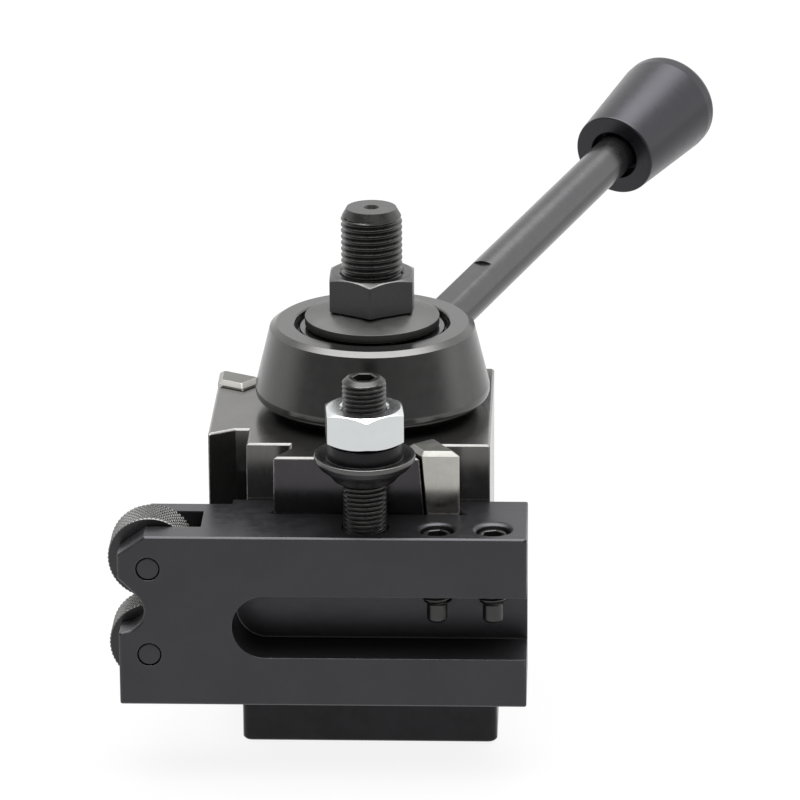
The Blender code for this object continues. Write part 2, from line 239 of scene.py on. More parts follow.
def box_outline(a0, b0, a1, b1):
    return [(a0, b0), (a1, b0), (a1, b1), (a0, b1)]


def shift(x, y, z=0.0):
    return Matrix.Translation((x * MM, y * MM, z * MM))


def socket_cap(bm, ring, z, depth, across, turn, lip=0.25):
    """Close a ring of vertices with a flat end that holds a hexagon socket."""
    count = len(ring)
    half = across / 2.0
    order = [math.atan2(v.co.y, v.co.x) for v in ring]

    def hexagon_ring(grow, height):
        made = []
        for angle in order:
            off = (angle - turn) % (math.pi / 3.0) - math.pi / 6.0
            reach = (half + grow) / math.cos(off)
            made.append(bm.verts.new((reach * math.cos(angle), reach * math.sin(angle), height)))
        return made

    rings = [ring, hexagon_ring(lip, z), hexagon_ring(0.0, z - lip), hexagon_ring(0.0, z - depth)]
    for outer, inner in zip(rings[:-1], rings[1:]):
        for k in range(count):
            n = (k + 1) % count
            bm.faces.new((outer[k], outer[n], inner[n], inner[k]))
    tip = bm.verts.new((0.0, 0.0, z - depth - 0.9))
    for k in range(count):
        bm.faces.new((rings[-1][k], rings[-1][(k + 1) % count], tip))


def ring_cap(bm, ring, levels):
    """Close a ring of vertices with (radius, height) levels that end on the axis."""
    order = [math.atan2(v.co.y, v.co.x) for v in ring]
    last = ring
    for radius, height in levels:
        if radius == 0.0:
            tip = bm.verts.new((0.0, 0.0, height))
            for k in range(len(last)):
                bm.faces.new((last[k], last[(k + 1) % len(last)], tip))
            return
        fresh = [bm.verts.new((radius * math.cos(a), radius * math.sin(a), height)) for a in order]
        for k in range(len(last)):
            n = (k + 1) % len(last)
            bm.faces.new((last[k], last[n], fresh[n], fresh[k]))
        last = fresh


THREAD = ((0.0, 0.0), (0.125, 0.0), (0.28, 0.5), (0.43, 0.96), (0.56, 1.0), (0.69, 0.96), (0.845, 0.5))


def threaded_bm(radius, pitch, low, high, envelope, segments=72, plain=None, crown=0.0):
    """A threaded bar with a real helix. envelope(z) limits the radius at the ends; between
    the heights in plain the bar has no thread, and none in the crown at its high end.
    Returns the mesh, its low ring and its high ring."""
    depth = 0.6134 * pitch
    per_turn = len(THREAD)
    turns = int((high - low) / pitch) + 2
    bm = bmesh.new()
    columns = []
    for k in range(segments):
        angle = TAU * k / segments
        column = []
        for row in range(-per_turn, turns * per_turn + 1):
            phase, drop = THREAD[row % per_turn]
            z = low + (row // per_turn + phase + k / segments) * pitch
            at = min(max(z, low), high)
            if at != z:
                where = ((at - low) / pitch - k / segments) % 1.0
                drop = float(np.interp(where, [p for p, _ in THREAD] + [1.0], [d for _, d in THREAD] + [0.0]))
            if plain is not None and plain[0] < at < plain[1]:
                drop = 0.55
            if at > high - crown:
                drop = 0.0
            r = min(radius - drop * depth, envelope(at))
            column.append(bm.verts.new((r * math.cos(angle), r * math.sin(angle), at)))
        columns.append(column)
    rows = len(columns[0])
    for k in range(segments):
        here = columns[k]
        if k + 1 < segments:
            for m in range(rows - 1):
                bm.faces.new((here[m], columns[k + 1][m], columns[k + 1][m + 1], here[m + 1]))
        else:
            first = columns[0]
            for m in range(rows - 1 - per_turn):
                bm.faces.new((here[m], first[m + per_turn], first[m + per_turn + 1], here[m + 1]))
    bmesh.ops.remove_doubles(bm, verts=bm.verts[:], dist=1e-5)
    bmesh.ops.dissolve_degenerate(bm, dist=1e-5, edges=bm.edges[:])
    loose = [v for v in bm.verts if not v.link_faces]
    bmesh.ops.delete(bm, geom=loose, context='VERTS')

    def end_ring(height):
        found = [v for v in bm.verts if abs(v.co.z - height) < 1e-4]
        return sorted(found, key=lambda v: math.atan2(v.co.y, v.co.x))

    return bm, end_ring(low), end_ring(high)


def nut_bm(across, low, high, bore, turn, both=True, segments=144, sink=0.9):
    """Hexagon nut whose corners are turned back to a cone, so each flat ends in an arc."""
    half = across / 2.0
    face = half - 0.35
    slope = math.tan(math.radians(27.0))
    soft = 0.35
    angles = []
    for k in range(6):
        base = turn + k * math.pi / 3.0
        for s in range(segments // 6):
            t = s / (segments // 6)
            ease = t + 0.12 * math.sin(TAU * t) / TAU
            angles.append(base + ease * math.pi / 3.0)

    def reach(angle, grow=0.0):
        off = (angle - turn) % (math.pi / 3.0) - math.pi / 6.0
        sharp = (half + grow) / math.cos(off)
        limit = (half / math.cos(math.pi / 6.0)) - soft * 0.35
        blend = max(0.0, sharp - limit)
        return sharp - blend * 0.55

    def ring(radii, heights):
        return [bm.verts.new((r * math.cos(a), r * math.sin(a), z))
                for a, r, z in zip(angles, radii, heights)]

    bm = bmesh.new()
    outer = [reach(a) for a in angles]
    drops = [max(0.0, r - face) * slope for r in outer]
    count = len(angles)
    rings = []
    rings.append(ring([bore] * count, [low + 0.6] * count))
    rings.append(ring([bore + sink * 0.6] * count, [low] * count))
    if both:
        rings.append(ring([face - 0.12] * count, [low] * count))
        rings.append(ring([face + 0.1] * count, [low + 0.04] * count))
        rings.append(ring([r - 0.06 for r in outer], [low + d - 0.01 for d in drops]))
        rings.append(ring(outer, [low + d + 0.08 for d in drops]))
    else:
        rings.append(ring([r - 0.15 for r in outer], [low] * count))
        rings.append(ring(outer, [low + 0.15] * count))
    rings.append(ring(outer, [high - d - 0.08 for d in drops]))
    rings.append(ring([r - 0.06 for r in outer], [high - d + 0.01 for d in drops]))
    rings.append(ring([face + 0.1] * count, [high - 0.04] * count))
    rings.append(ring([face - 0.12] * count, [high] * count))
    rings.append(ring([bore + sink] * count, [high] * count))
    rings.append(ring([bore] * count, [high - sink * 0.9] * count))
    for low_ring, high_ring in zip(rings, rings[1:] + rings[:1]):
        for k in range(count):
            n = (k + 1) % count
            bm.faces.new((low_ring[k], low_ring[n], high_ring[n], high_ring[k]))
    return bm


def knurled_bm(radius, half_width, bore, shoulder=0.25, pitch=1.0, depth=0.24, fine=8):
    """Knurling wheel about Z with raised diamonds cut by two families of grooves."""
    around = int(round(TAU * radius / pitch))
    segments = around * fine
    lead = pitch / math.tan(math.radians(30.0))
    step = lead / fine
    rows = int(half_width / step)
    heights = [-half_width] + [m * step for m in range(-rows, rows + 1)] + [half_width]
    bm = bmesh.new()
    rings = []

    def fold(value):
        return abs((value % 1.0) - 0.5) * 2.0

    for z in heights:
        edge = radius - max(0.0, abs(z) - (half_width - shoulder))
        ring = []
        for k in range(segments):
            turn = k / fine
            height = 1.0 - max(fold(turn + z / lead), fold(turn - z / lead))
            r = min(radius - depth * (1.0 - min(1.0, height * 2.1)), edge)
            angle = TAU * k / segments
            ring.append(bm.verts.new((r * math.cos(angle), r * math.sin(angle), z)))
        rings.append(ring)
    for r, z in ((radius - 1.7, half_width), (bore + 1.6, half_width), (bore + 1.4, half_width - 0.25),
                 (bore + 0.2, half_width - 0.25), (bore, half_width - 0.45), (bore, -half_width + 0.45),
                 (bore + 0.2, -half_width + 0.25), (bore + 1.4, -half_width + 0.25),
                 (bore + 1.6, -half_width), (radius - 1.7, -half_width)):
        ring = []
        for k in range(segments):
            angle = TAU * k / segments
            ring.append(bm.verts.new((r * math.cos(angle), r * math.sin(angle), z)))
        rings.append(ring)
    for low_ring, high_ring in zip(rings, rings[1:] + rings[:1]):
        for k in range(segments):
            n = (k + 1) % segments
            bm.faces.new((low_ring[k], low_ring[n], high_ring[n], high_ring[k]))
    return bm


# --- Materials ------------------------------------------------------------------
class Graph:
    """Short calls for building one material's nodes."""

    def __init__(self, name):
        self.mat = bpy.data.materials.new(name)
        self.mat.use_nodes = True
        self.tree = self.mat.node_tree
        self.shader = self.tree.nodes["Principled BSDF"]

    def node(self, kind, **settings):
        made = self.tree.nodes.new(kind)
        for key, value in settings.items():
            setattr(made, key, value)
        return made

    def link(self, source, target):
        self.tree.links.new(source, target)

    def math(self, operation, first, second=None, third=None, clamp=False):
        made = self.node('ShaderNodeMath', operation=operation, use_clamp=clamp)
        for slot, value in enumerate((first, second, third)):
            if value is None:
                continue
            if isinstance(value, (int, float)):
                made.inputs[slot].default_value = value
            else:
                self.link(value, made.inputs[slot])
        return made.outputs[0]

    def noise(self, vector, scale, detail=3.0, rough=0.55):
        made = self.node('ShaderNodeTexNoise')
        made.inputs["Scale"].default_value = scale
        made.inputs["Detail"].default_value = detail
        made.inputs["Roughness"].default_value = rough
        self.link(vector, made.inputs["Vector"])
        return made.outputs["Fac"]

    def spread(self, value, low, high, from_low=0.3, from_high=0.7):
        made = self.node('ShaderNodeMapRange')
        for key, number in (("From Min", from_low), ("From Max", from_high),
                            ("To Min", low), ("To Max", high)):
            made.inputs[key].default_value = number
        self.link(value, made.inputs["Value"])
        return made.outputs[0]

    def mix(self, factor, first, second):
        made = self.node('ShaderNodeMix', data_type='RGBA')
        self.link(factor, made.inputs["Factor"])
        for key, value in (("A", first), ("B", second)):
            slot = [s for s in made.inputs if s.name == key and s.type == 'RGBA'][0]
            if isinstance(value, tuple):
                slot.default_value = (*value, 1.0)
            else:
                self.link(value, slot)
        return [s for s in made.outputs if s.type == 'RGBA'][0]


def steel(name, colour, roughness, grain="plain", metallic=1.0, wear_and_glint=0.25, wear_and_glint_colour=(0.30, 0.29, 0.28),
          bump=0.12, spread=0.18, stretch=(1.0, 1.0, 1.0), fine=2600.0, hollow_tint=None, axis=None, rails=None,
          edge_size=0.35, drawn=0.0):
    """Steel with mottled colour, uneven gloss, machining grain and edges rubbed brighter; a bright rub colour
    also paints a highlight on the edges and chamfers.

    grain is plain (even), turned (rings about Z, or about the Z of the axis matrix) or lines
    (along the direction that has the small stretch). rails is a second colour for whatever
    stands further forward than the body's front face."""
    g = Graph(name)
    g.shader.inputs["Metallic"].default_value = metallic
    where = g.node('ShaderNodeTexCoord').outputs["Object"]
    if axis is not None:
        back = axis.inverted()
        moved = g.node('ShaderNodeMapping')
        moved.inputs["Location"].default_value = back.translation
        moved.inputs["Rotation"].default_value = back.to_euler()
        g.link(where, moved.inputs["Vector"])
        where = moved.outputs[0]
    if grain == "turned":
        parts = g.node('ShaderNodeSeparateXYZ')
        g.link(where, parts.inputs[0])
        square = g.math('ADD', g.math('POWER', parts.outputs[0], 2.0), g.math('POWER', parts.outputs[1], 2.0))
        radial = g.math('SQRT', square)
        joined = g.node('ShaderNodeCombineXYZ')
        g.link(radial, joined.inputs[0])
        g.link(parts.outputs[2], joined.inputs[2])
        lines = joined.outputs[0]
    else:
        mapping = g.node('ShaderNodeMapping')
        mapping.inputs["Scale"].default_value = stretch
        g.link(where, mapping.inputs["Vector"])
        lines = mapping.outputs[0]
    cloud = g.noise(where, 70.0, 4.0, 0.6)
    patch = g.noise(where, 420.0, 3.0, 0.6)
    grains = g.noise(lines, fine, 2.0, 0.6)
    tone = g.math('ADD', g.math('MULTIPLY', cloud, 0.6), g.math('MULTIPLY', patch, 0.4))
    dark = tuple(c * (1.0 - spread) for c in colour)
    light = tuple(min(1.0, c * (1.0 + spread)) for c in colour)
    colour_out = g.mix(g.spread(tone, 0.0, 1.0, 0.36, 0.64), dark, light)
    if rails is not None:
        parts = g.node('ShaderNodeSeparateXYZ')
        g.link(where, parts.inputs[0])
        beyond = g.spread(parts.outputs[1], 1.0, 0.0, -0.0290, -0.0282)
        rails_dark = tuple(c * (1.0 - spread) for c in rails)
        rails_light = tuple(c * (1.0 + spread) for c in rails)
        rails_out = g.mix(g.spread(tone, 0.0, 1.0, 0.36, 0.64), rails_dark, rails_light)
        facing = g.node('ShaderNodeSeparateXYZ')
        g.link(g.node('ShaderNodeNewGeometry').outputs["Normal"], facing.inputs[0])
        beyond = g.math('MULTIPLY', beyond, g.spread(facing.outputs[2], 1.0, 0.0, 0.2, 0.4))
        colour_out = g.mix(beyond, colour_out, rails_out)
    # Edges found by the bevel node take the rub colour: real wear, and where that colour is bright also a
    # painted highlight on the chamfers.
    if wear_and_glint:
        bevel = g.node('ShaderNodeBevel', samples=4)
        bevel.inputs["Radius"].default_value = edge_size * MM
        normal = g.node('ShaderNodeNewGeometry').outputs["Normal"]
        agree = g.node('ShaderNodeVectorMath', operation='DOT_PRODUCT')
        g.link(bevel.outputs[0], agree.inputs[0])
        g.link(normal, agree.inputs[1])
        edge = g.math('SUBTRACT', 1.0, agree.outputs["Value"])
        edge = g.spread(edge, 0.0, 1.0, 0.02, 0.16)
        rub_and_glint = g.math('MULTIPLY', edge, g.spread(g.noise(where, 900.0, 4.0, 0.7), 0.15, 1.0, 0.4, 0.62))
        colour_out = g.mix(g.math('MULTIPLY', rub_and_glint, wear_and_glint, clamp=True), colour_out, wear_and_glint_colour)
    # Colour moves towards hollow_tint where local occlusion finds narrow hollows, such as the grooves of the
    # knurl wheels.
    if hollow_tint is not None:
        shade = g.node('ShaderNodeAmbientOcclusion', samples=6, only_local=True)
        shade.inputs["Distance"].default_value = 0.6 * MM
        hollow = g.spread(shade.outputs["AO"], 1.0, 0.0, 0.35, 0.95)
        colour_out = g.mix(hollow, colour_out, hollow_tint)
    g.link(colour_out, g.shader.inputs["Base Color"])
    gloss = g.math('ADD', g.spread(patch, roughness * 0.88, roughness * 1.12, 0.3, 0.7),
                   g.spread(grains, -0.03, 0.03, 0.3, 0.7))
    g.link(gloss, g.shader.inputs["Roughness"])
    if drawn:
        g.shader.inputs["Anisotropic"].default_value = drawn
        rings = g.node('ShaderNodeTangent', direction_type='RADIAL', axis='Z')
        g.link(rings.outputs[0], g.shader.inputs["Tangent"])
    bumps = g.node('ShaderNodeBump')
    bumps.inputs["Strength"].default_value = bump
    bumps.inputs["Distance"].default_value = 0.02 * MM
    g.link(g.math('ADD', grains, g.math('MULTIPLY', patch, 0.6)), bumps.inputs["Height"])
    g.link(bumps.outputs[0], g.shader.inputs["Normal"])
    return g.mat


ROD_AZIMUTH = math.radians(62.9)
ROD_RISE = math.radians(11.2)
ROD_Z = 75.4
aim = Matrix.Rotation(ROD_AZIMUTH, 4, 'Z') @ Matrix.Rotation(math.pi / 2.0 - ROD_RISE, 4, 'Y')
along_rod = Matrix.Translation((0.0, 0.0, ROD_Z * MM)) @ aim

OXIDE = (0.046, 0.045, 0.049)
# Bright grey for the body's rubbed edges: partly wear, partly painted highlight on its chamfers.
RUB_AND_GLINT_GREY = (0.42, 0.42, 0.42)
# Black oxide made darker than its own colour. The extra darkness is painted shade: it stands for the shaded
# floor that the T-nut's front reflects, and for the lock nut's shade on the height nut's neck.
PAINTED_SHADE_BLACK = steel("black_oxide_ground_painted_shade", (0.018, 0.0175, 0.019), 0.34, metallic=0.85, stretch=(1.0, 1.0, 0.05),
              grain="lines")
BLACK_BODY = steel("black_oxide_body", (0.118, 0.115, 0.112), 0.19, metallic=0.92, stretch=(1.0, 1.0, 0.05),
                   grain="lines", rails=(0.050, 0.047, 0.050), wear_and_glint=0.9, wear_and_glint_colour=RUB_AND_GLINT_GREY, bump=0.04,
                   edge_size=0.6, spread=0.10)
BLACK_HOLDER = steel("black_oxide_holder", OXIDE, 0.34, metallic=0.88, stretch=(0.05, 1.0, 1.0),
                     grain="lines", spread=0.06, bump=0.08, wear_and_glint=0.4)
BLACK_TURNED = steel("black_oxide_turned", (0.085, 0.084, 0.083), 0.21, metallic=0.92, grain="turned",
                     fine=3800.0, bump=0.04, spread=0.07, drawn=0.25, wear_and_glint=0.1)
BLACK_CONE = steel("black_oxide_cone", (0.088, 0.088, 0.086), 0.40, metallic=0.90, grain="turned",
                   fine=3800.0, bump=0.04, spread=0.07, drawn=0.7, wear_and_glint=0.1)
BLACK_FASTENER = steel("black_oxide_fastener", (0.044, 0.044, 0.045), 0.30, metallic=0.9, bump=0.06, wear_and_glint=0.1,
                       spread=0.08)
OXIDE_CHAMFER = steel("black_oxide_chamfer", (0.100, 0.100, 0.098), 0.30, metallic=0.9, bump=0.06, wear_and_glint=0.3,
                      spread=0.10)
BLACK_THREAD = steel("black_oxide_thread", (0.052, 0.052, 0.051), 0.30, metallic=0.9, bump=0.06, wear_and_glint=0.4,
                     spread=0.15)
LEVER = steel("black_oxide_lever", (0.082, 0.082, 0.084), 0.24, metallic=0.92, grain="turned", fine=3000.0,
              bump=0.03, axis=along_rod, spread=0.05, wear_and_glint=0.2)
KNOB = steel("black_knob_gloss", (0.042, 0.042, 0.047), 0.31, metallic=0.92, grain="turned", fine=3000.0,
             bump=0.03, axis=along_rod, spread=0.05, wear_and_glint=0.0)
GROUND = steel("ground_steel", (0.40, 0.39, 0.36), 0.17, grain="lines", stretch=(1.0, 1.0, 0.02), bump=0.08,
               wear_and_glint=0.5, wear_and_glint_colour=(0.75, 0.74, 0.71), spread=0.08, edge_size=0.5)
GROUND_BEVEL = steel("ground_steel_bevel", (0.25, 0.245, 0.23), 0.50, metallic=0.75, bump=0.12, wear_and_glint=0.0,
                     spread=0.08)
GROUND_END = steel("ground_steel_end", (0.105, 0.105, 0.096), 0.46, metallic=0.75, bump=0.12, wear_and_glint=0.2,
                   wear_and_glint_colour=(0.30, 0.30, 0.29), spread=0.10)
ZINC = steel("zinc_plate", (0.60, 0.62, 0.62), 0.22, bump=0.01, wear_and_glint=0.0, spread=0.03)
KNURLED = steel("knurled_steel", (0.13, 0.13, 0.127), 0.42, bump=0.15, wear_and_glint=0.1, wear_and_glint_colour=(0.4, 0.4, 0.4),
                hollow_tint=(0.07, 0.07, 0.07))
INNER = steel("turned_steel", (0.32, 0.32, 0.32), 0.34, grain="turned", fine=3200.0, bump=0.2)

# --- Dimensions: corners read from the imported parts, the rest as in the CAD ------
nut_low, nut_high = corner("t_nut")
body_low, body_high = corner("post_body")
gib_low, gib_high = corner("front_gib")
hold_low, hold_high = corner("holder_body")
stud_low, stud_high = corner("centre_stud")
height_low, height_high = corner("height_stud")

GAP = 0.3
STUD_R = 7.0
STUD_PITCH = 1.43
HEIGHT_R = 4.9
HEIGHT_PITCH = 1.05
HEIGHT_Y = -45.2
DOVE_FACE = 36.6
DOVE_HALF = 21.1
DOVE_ROOT = 17.6
DOVE_ROOT_FACE = 30.55
BODY_HALF = 27.5
BODY_BACK = 26.4
FLANK = math.tan(math.radians(30.0))
WEDGE_SLOPE = 0.078
GIB_INNER = 12.3
GIB_DEPTH = 10.7
GIB_BEVEL = 1.05
GIB_TOP = gib_high[2]
GIB_LOW = gib_low[2]
BODY_LOW, BODY_TOP = body_low[2], body_high[2]
HOLD_FRONT, HOLD_BACK = hold_low[1], hold_high[1]
HOLD_X0, HOLD_X1 = hold_low[0], hold_high[0]
HOLD_Z0, HOLD_Z1 = hold_low[2], hold_high[2]
PIECES = {}


def piece(obj, node, body):
    """Let a finished mesh stand for a CAD node and move with its body."""
    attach(obj, body)
    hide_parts(node)
    PIECES[node] = obj
    return obj


# --- T-nut ----------------------------------------------------------------------
half = nut_high[0]
square = fillet(box_outline(-half, -half, half, half), 2.2, 8)
# The T-nut block takes the darkened black oxide: painted shade for the shaded floor that its front reflects.
t_nut = build("t_nut_block", prism(square, soft_edge(nut_low[2], nut_high[2], 0.6), 2), PAINTED_SHADE_BLACK)
shape(t_nut, [hole("t_nut_bore", STUD_R + GAP, -2.0, nut_high[2] + 2.0, mouth_low=0.0,
                   mouth_high=nut_high[2], lip=0.8)])
piece(t_nut, "t_nut", "post")


# --- Post body and gibs ------------------------------------------------------------
def meet(point, direction, other, heading):
    """Crossing of two lines in the plane."""
    across = direction.x * heading.y - direction.y * heading.x
    gap = other - point
    return point + direction * ((gap.x * heading.y - gap.y * heading.x) / across)


def gib_corners(z, grow=0.0):
    """Front gib at one height: face inner, deep inner, deep outer, face outer."""
    lean = WEDGE_SLOPE * (GIB_TOP - z)
    side_dir = Vector((-FLANK, 1.0)).normalized()
    back_dir = Vector((-6.0, -4.7)).normalized()
    widen = Vector((grow / math.cos(math.radians(30.0)), 0.0))
    face_in = Vector((GIB_INNER + lean, -DOVE_FACE)) - widen
    face_out = Vector((DOVE_HALF, -DOVE_FACE)) + widen
    back = Vector((DOVE_HALF - FLANK * GIB_DEPTH, -DOVE_FACE + GIB_DEPTH))
    back = back + Vector((back_dir.y, -back_dir.x)) * grow
    deep_in = meet(back, back_dir, face_in, side_dir)
    deep_out = meet(back, back_dir, face_out, side_dir)
    return face_in, deep_in, deep_out, face_out


def body_outline(z):
    face_in, deep_in, deep_out, face_out = gib_corners(z, GAP)
    open_x = face_out.x - FLANK * (DOVE_FACE - BODY_HALF)
    front = [(-BODY_HALF, -BODY_HALF), (-DOVE_ROOT, -BODY_HALF), (-DOVE_ROOT, -DOVE_ROOT_FACE),
             (-DOVE_HALF, -DOVE_FACE), tuple(face_in), tuple(deep_in), tuple(deep_out),
             (open_x, -BODY_HALF)]
    side = [(y, x) for x, y in reversed(front[1:])]
    return front + [(BODY_HALF, -BODY_HALF), (BODY_HALF, BODY_BACK), (-BODY_HALF, BODY_BACK)] + side


def upright(outline_at, levels, radius, steps=3):
    """A prism along Z whose outline may change with height; its upright edges are rounded."""
    rings = []
    for z, edge in levels:
        ring = fillet(inset(outline_at(z), edge), radius, steps)
        rings.append([(x, y, z) for x, y in ring])
    return loft_bm(rings)


post_body = build("post_block", upright(body_outline, soft_edge(BODY_LOW, BODY_TOP, 0.6), 0.3), BLACK_BODY)
tools = [
    hole("bore_tool", 16.3, BODY_LOW - 3.0, BODY_TOP + 3.0, mouth_high=BODY_TOP, lip=0.5, segments=120),
    hole("counterbore_tool", 23.3, BODY_LOW - 3.0, 19.3, mouth_low=BODY_LOW, lip=0.4, segments=120),
    tool("front_window_tool", prism(box_outline(11.3, -30.0, 15.8, -4.0), [(37.4, 0), (49.8, 0)], 2)),
    tool("side_window_tool", prism(box_outline(-30.0, 11.3, -4.0, 15.8), [(37.4, 0), (49.8, 0)], 2))]
for number, degrees in enumerate((45.0, 165.0, 285.0), start=1):
    angle = math.radians(degrees)
    spot = shift(20.0 * math.cos(angle), 20.0 * math.sin(angle))
    tools.append(hole("screw_tool_%d" % number, 1.8, 18.0, 28.0, spot, segments=32))
shape(post_body, tools)
piece(post_body, "post_body", "post")


def gib_outline(z):
    face_in, deep_in, deep_out, face_out = gib_corners(z)
    return [tuple(p) for p in (face_in, face_out, deep_out, deep_in)]


def make_gib(node, mirrored):
    levels = [(GIB_LOW, 0.5), (GIB_LOW + 0.5, 0.0), (GIB_TOP - GIB_BEVEL, 0.0),
              (GIB_TOP - GIB_BEVEL + 0.06, 0.03), (GIB_TOP - 0.06, GIB_BEVEL - 0.08),
              (GIB_TOP, GIB_BEVEL + 0.05)]
    rings = []
    for z, edge in levels:
        ring = fillet(inset(gib_outline(z), edge), 0.4, 3)
        rings.append([(y, x, z) if mirrored else (x, y, z) for x, y in ring])
    gib = build(node + "_wedge", loft_bm(rings), GROUND)
    lug = box_outline(12.0, -31.0, 15.0, -5.5)
    if mirrored:
        lug = box_outline(-31.0, 12.0, -5.5, 15.0)
    shape(gib, [tool(node + "_hook_tool", prism(lug, [(40.0, 0), (46.0, 0)], 2))], 'UNION')
    accent(gib, GROUND_BEVEL, lambda face: 0.3 < face.normal.z < 0.97 and face.center.z > 60.0 * MM)
    accent(gib, GROUND_END, lambda face: face.normal.z > 0.97 and face.center.z > 60.0 * MM)
    piece(gib, node, node)


make_gib("front_gib", False)
make_gib("side_gib", True)

# --- Handle hub --------------------------------------------------------------------
HUB_TOP = corner("handle_hub")[1][2]
hub_profile = fillet(
    [(16.3, 72.5), (23.4, 72.5), (26.9, 75.2), (26.9, 77.0), (23.5, 90.9), (22.0, HUB_TOP), (18.1, HUB_TOP),
     (17.8, HUB_TOP - 0.3), (17.8, 88.6), (10.5, 88.6), (10.5, 78.0), (16.3, 78.0)],
    [0.4, 1.6, 1.6, 0.5, 0.12, 0.25, 0.1, 0.1, 0.2, 0.2, 0.3, 0.3], 4)
hub = build("handle_hub_turned", lathe_bm(hub_profile, 160), BLACK_TURNED)
tools = [hole("hub_rod_tool", 5.0 + GAP * 0.4, 17.9, 40.0, along_rod)]
for number, turn in enumerate((-90.0, 90.0), start=1):
    angle = ROD_AZIMUTH + math.radians(turn)
    spot = shift(13.2 * math.cos(angle), 13.2 * math.sin(angle))
    tools.append(hole("hub_pin_tool_%d" % number, 1.6, 76.0, 84.4, spot, segments=32))
shape(hub, tools)
piece(hub, "handle_hub", "handle")

washer = fillet([(10.5, 88.9), (17.2, 88.9), (17.2, 89.4), (10.5, 89.4)], 0.15, 3)
thrust_washer = build("thrust_washer_turned", lathe_bm(washer, 96), BLACK_TURNED)
piece(thrust_washer, "hub_thrust_washer", "post")
snap = fillet([(9.6, 89.7), (16.6, 89.7), (16.6, 90.9), (9.6, 90.9)], 0.18, 3)
snap_ring = build("snap_ring_split", lathe_bm(snap, 120, (math.radians(-48.0), math.radians(338.0))),
                  BLACK_TURNED)
piece(snap_ring, "hub_snap_ring", "post")

# --- Lever -------------------------------------------------------------------------
ROD_IN, ROD_OUT = 18.5, 143.5
FLAT_START, FLAT_END = 27.5, 56.0
FLAT_DEPTH = 4.35
FLAT_TURN = math.radians(175.0)


def rod_bm():
    levels = [(4.4, ROD_IN), (4.85, ROD_IN + 0.25), (5.0, ROD_IN + 0.6), (5.0, FLAT_START),
              (5.0, FLAT_START + 0.001), (5.0, FLAT_END), (5.0, FLAT_END + 0.001), (5.0, ROD_OUT - 0.6),
              (4.4, ROD_OUT)]
    flat_rows = (4, 5)
    segments = 96
    bm = bmesh.new()
    rings = []
    for row, (radius, s) in enumerate(levels):
        ring = []
        for k in range(segments):
            angle = TAU * k / segments
            x, y = radius * math.cos(angle), radius * math.sin(angle)
            if row in flat_rows:
                u = x * math.cos(FLAT_TURN) + y * math.sin(FLAT_TURN)
                over = max(0.0, u - FLAT_DEPTH)
                x -= over * math.cos(FLAT_TURN)
                y -= over * math.sin(FLAT_TURN)
            ring.append(bm.verts.new((x, y, s)))
        rings.append(ring)
    for low_ring, high_ring in zip(rings[:-1], rings[1:]):
        for k in range(segments):
            n = (k + 1) % segments
            bm.faces.new((low_ring[k], low_ring[n], high_ring[n], high_ring[k]))
    bm.faces.new(rings[0])
    bm.faces.new(rings[-1])
    return bm


rod = build("lever_rod_turned", rod_bm(), LEVER, along_rod, sharp=14.0, baked=True)
piece(rod, "lever_rod", "handle")
knob_profile = fillet(
    [(0.0, 144.0), (5.25, 144.0), (5.25, 129.5), (6.1, 129.5), (6.1, 124.5), (10.3, 124.5), (12.6, 152.5),
     (12.5, 155.8), (10.4, 157.9), (6.0, 158.4), (0.0, 158.5)],
    [0.0, 0.2, 0.2, 0.2, 0.3, 0.5, 3.0, 2.6, 2.6, 3.0, 0.0], 8, closed=False)
knob = build("lever_knob_turned", lathe_bm(knob_profile, 120), KNOB, along_rod, baked=True)
piece(knob, "lever_knob", "handle")

# --- Washer, nut and stud -------------------------------------------------------------
clamp = fillet([(STUD_R + GAP, 91.6), (15.4, 91.6), (15.4, 93.5), (9.8, 95.5), (STUD_R + GAP, 95.5)],
               [0.1, 0.15, 0.08, 0.5, 0.1], 4)
piece(build("clamp_washer_turned", lathe_bm(clamp, 128), BLACK_CONE), "clamp_washer", "post")
stud_nut = build("stud_nut_hexagon", nut_bm(19.0, 95.8, 104.0, STUD_R + 0.1, math.radians(-90.0), both=False,
                                             sink=0.5),
                 BLACK_FASTENER)
accent(stud_nut, OXIDE_CHAMFER, lambda face: 0.3 < face.normal.z < 0.98)
piece(stud_nut, "stud_nut", "stud_nut")
STUD_TOP = stud_high[2]


def stud_envelope(z):
    top = 5.7 + (STUD_TOP - z) * 0.56
    return min(STUD_R, top, 6.0 + (z - stud_low[2]) * 1.0)


bm, low_ring, high_ring = threaded_bm(STUD_R, STUD_PITCH, stud_low[2], STUD_TOP, stud_envelope,
                                      plain=(20.0, 84.0), crown=1.9)
ring_cap(bm, high_ring, [(5.5, STUD_TOP), (1.75, STUD_TOP), (1.1, STUD_TOP - 1.2), (0.7, STUD_TOP - 1.9),
                         (0.0, STUD_TOP - 2.4)])
ring_cap(bm, low_ring, [(1.75, stud_low[2]), (1.1, stud_low[2] + 1.2), (0.0, stud_low[2] + 2.0)])
stud = build("centre_stud_threaded", bm, BLACK_THREAD, sharp=60.0)
piece(stud, "centre_stud", "post")

# --- Holder ------------------------------------------------------------------------
outline = [(HOLD_X0, HOLD_Z0), (HOLD_X1, HOLD_Z0), (HOLD_X1, HOLD_Z1), (-48.9, HOLD_Z1),
           (HOLD_X0, 54.2), (HOLD_X0, 48.6), (-51.3, 44.9), (-49.8, 43.2), (-49.1, 40.7),
           (-49.7, 38.3), (-51.7, 36.4), (HOLD_X0, 35.5)]
radii = [0.5, 0.5, 0.5, 0.5, 0.5, 0.5, 4.0, 4.0, 4.0, 4.0, 4.0, 0.5]
rings = []
for y, edge in soft_edge(HOLD_FRONT, HOLD_BACK, 0.55):
    rings.append([(x, y, z) for x, z in fillet(inset(outline, edge), radii, 5)])
holder = build("holder_block", loft_bm(rings), BLACK_HOLDER)

